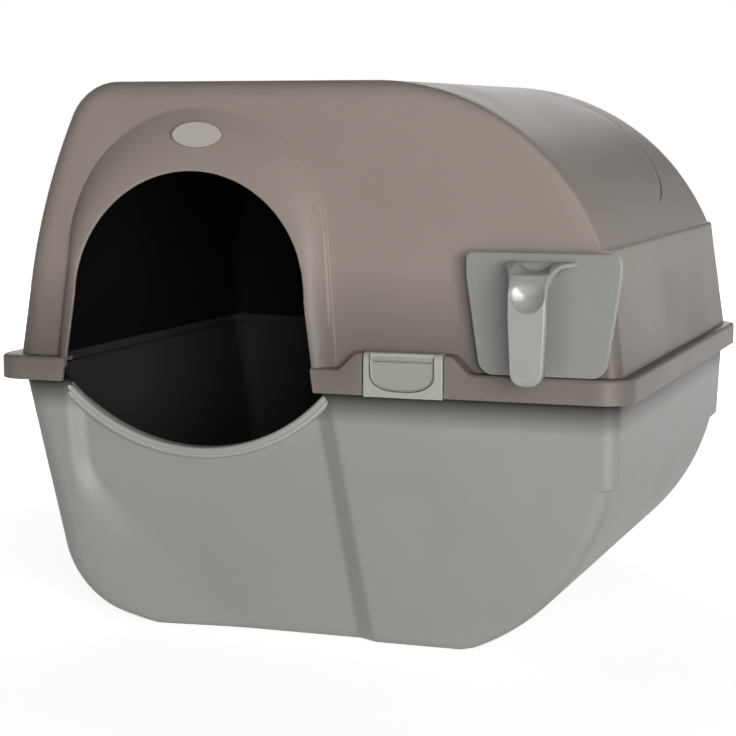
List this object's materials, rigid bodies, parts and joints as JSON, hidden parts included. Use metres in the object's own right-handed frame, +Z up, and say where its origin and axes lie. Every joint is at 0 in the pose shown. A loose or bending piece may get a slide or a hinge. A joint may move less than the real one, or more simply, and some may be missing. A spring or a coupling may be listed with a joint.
{
  "type": "roll-to-clean litter box",
  "caption": "Enclosed front-entry litter box with a rounded side for rolling, a lift-off hooded cover, rim clips, an inner sifting screen and a pull-out waste tray.",
  "frame": {"origin": "on the floor, under the middle of the rim, at the centre of the rest face", "axes": "+X to the right seen from the front, +Y to the back, +Z up"},
  "size_m": [0.5615, 0.5625, 0.47],
  "materials": {
    "taupe_plastic": "fine grained",
    "grey_plastic": "satin",
    "pale_plastic": "semi-gloss",
    "screen_plastic": "satin",
    "badge_plastic": "glossy",
    "steel": "bright"
  },
  "bodies": {
    "base": {"base_tub": "grey_plastic", "clip_hinge_pins": "steel"},
    "cover": {"cover_shell": "taupe_plastic", "sifting_screen": "screen_plastic", "tray_rail_left": "screen_plastic", "tray_rail_right": "screen_plastic", "mounting_screws": "steel", "badge_plate": "badge_plastic"},
    "waste_tray": {"waste_tray": "pale_plastic", "tray_front_plate": "pale_plastic", "tray_handle": "pale_plastic"},
    "clip_front": {"clip_front": "pale_plastic"},
    "clip_left": {"clip_left": "pale_plastic"},
    "clip_rear_left": {"clip_rear_left": "pale_plastic"},
    "clip_rear_right": {"clip_rear_right": "pale_plastic"}
  },
  "joints": [
    {"name": "cover_lift", "type": "slide", "parent": "base", "child": "cover", "axis": [0, 0, 1], "range_m": [0, 0.3]},
    {"name": "waste_tray_slide", "type": "slide", "parent": "cover", "child": "waste_tray", "axis": [0, -1, 0], "range_m": [0, 0.44]},
    {"name": "clip_front_hinge", "type": "hinge", "parent": "base", "child": "clip_front", "pos_m": [0.094, -0.2515, 0.2195], "axis": [1, 0, 0], "range_deg": [0, 95]},
    {"name": "clip_left_hinge", "type": "hinge", "parent": "base", "child": "clip_left", "pos_m": [-0.2735, 0, 0.2195], "axis": [0, -1, 0], "range_deg": [0, 95]},
    {"name": "clip_rear_left_hinge", "type": "hinge", "parent": "base", "child": "clip_rear_left", "pos_m": [-0.15, 0.2515, 0.2195], "axis": [-1, 0, 0], "range_deg": [0, 95]},
    {"name": "clip_rear_right_hinge", "type": "hinge", "parent": "base", "child": "clip_rear_right", "pos_m": [0.15, 0.2515, 0.2195], "axis": [-1, 0, 0], "range_deg": [0, 95]}
  ]
}
